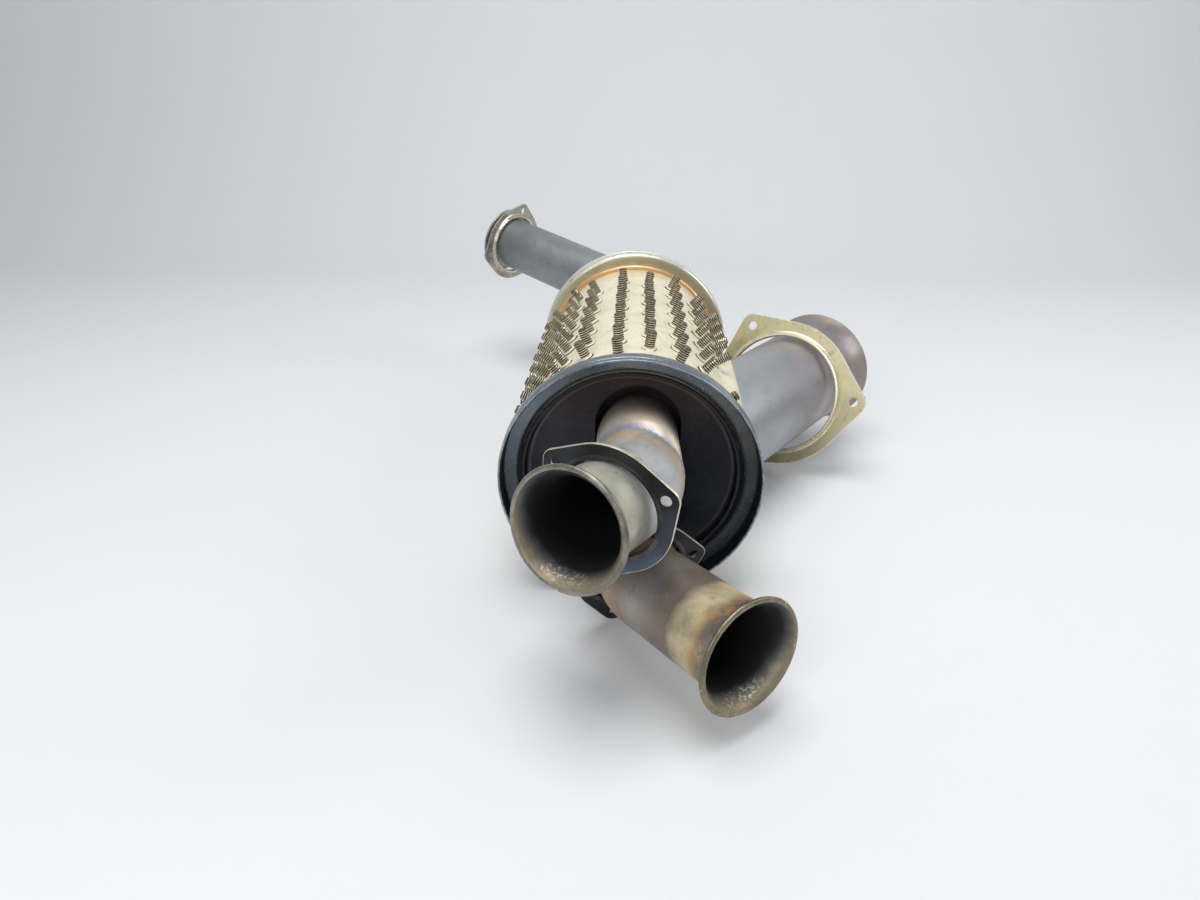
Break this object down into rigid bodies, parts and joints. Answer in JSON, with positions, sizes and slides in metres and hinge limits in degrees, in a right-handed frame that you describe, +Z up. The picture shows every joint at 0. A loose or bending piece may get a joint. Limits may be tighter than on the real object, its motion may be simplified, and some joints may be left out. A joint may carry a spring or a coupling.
{
  "type": "exhaust muffler",
  "caption": "Studded cylindrical exhaust muffler with flared, bent inlet pipes at both ends, a large side outlet pipe and loose three-hole flanges.",
  "frame": {"origin": "centre of the front collar's lip, on the can's axis", "axes": "+Y along the can towards its rear end, +Z up as it lies in the picture, +X to the outlet's side"},
  "size_m": [0.3413, 0.5651, 0.163],
  "materials": {
    "shell_cream": "pale cream heat-bleached steel, matt",
    "collar_steel": "satin pressed steel with dull grey oxide",
    "plate_soot": "dark oxide and soot",
    "stud_steel": "oxidised threaded steel",
    "pipe_steel": "stainless tube with straw and blue heat tint",
    "outlet_steel": "satin stainless tube with faint blue tint",
    "flange_steel": "dull grey-tan steel with a brighter rolled lip",
    "flange_plated": "pale yellowish plated steel, satin",
    "inner_steel": "sooted sheet steel"
  },
  "bodies": {
    "root": {"can_shell": "shell_cream", "front_baffle": "inner_steel", "front_collar": "collar_steel", "front_end_plate": "plate_soot", "lone_stud": "stud_steel", "lower_inlet_elbow": "pipe_steel", "lower_inlet_flange": "flange_steel", "lower_inlet_stub": "pipe_steel", "outlet_flange": "flange_plated", "outlet_neck": "shell_cream", "outlet_pipe": "outlet_steel", "perforated_tube": "inner_steel", "rear_baffle": "inner_steel", "rear_collar": "collar_steel", "rear_end_plate": "plate_soot", "rear_inlet_elbow": "pipe_steel", "rear_inlet_flange": "flange_steel", "rear_inlet_stub": "pipe_steel", "stud_row_01": "stud_steel", "stud_row_02": "stud_steel", "stud_row_03": "stud_steel", "stud_row_04": "stud_steel", "stud_row_05": "stud_steel", "stud_row_06": "stud_steel", "stud_row_07": "stud_steel", "stud_row_08": "stud_steel", "stud_row_09": "stud_steel", "stud_row_10": "stud_steel", "stud_row_11": "stud_steel", "stud_row_12": "stud_steel", "stud_row_13": "stud_steel", "stud_row_14": "stud_steel", "stud_row_15": "stud_steel", "stud_row_16": "stud_steel", "stud_row_17": "stud_steel", "stud_row_18": "stud_steel", "stud_row_19": "stud_steel", "stud_row_20": "stud_steel", "stud_row_21": "stud_steel", "stud_row_22": "stud_steel", "stud_row_23": "stud_steel", "upper_inlet_elbow": "pipe_steel", "upper_inlet_flange": "flange_steel", "upper_inlet_stub": "pipe_steel"}
  },
  "joints": []
}
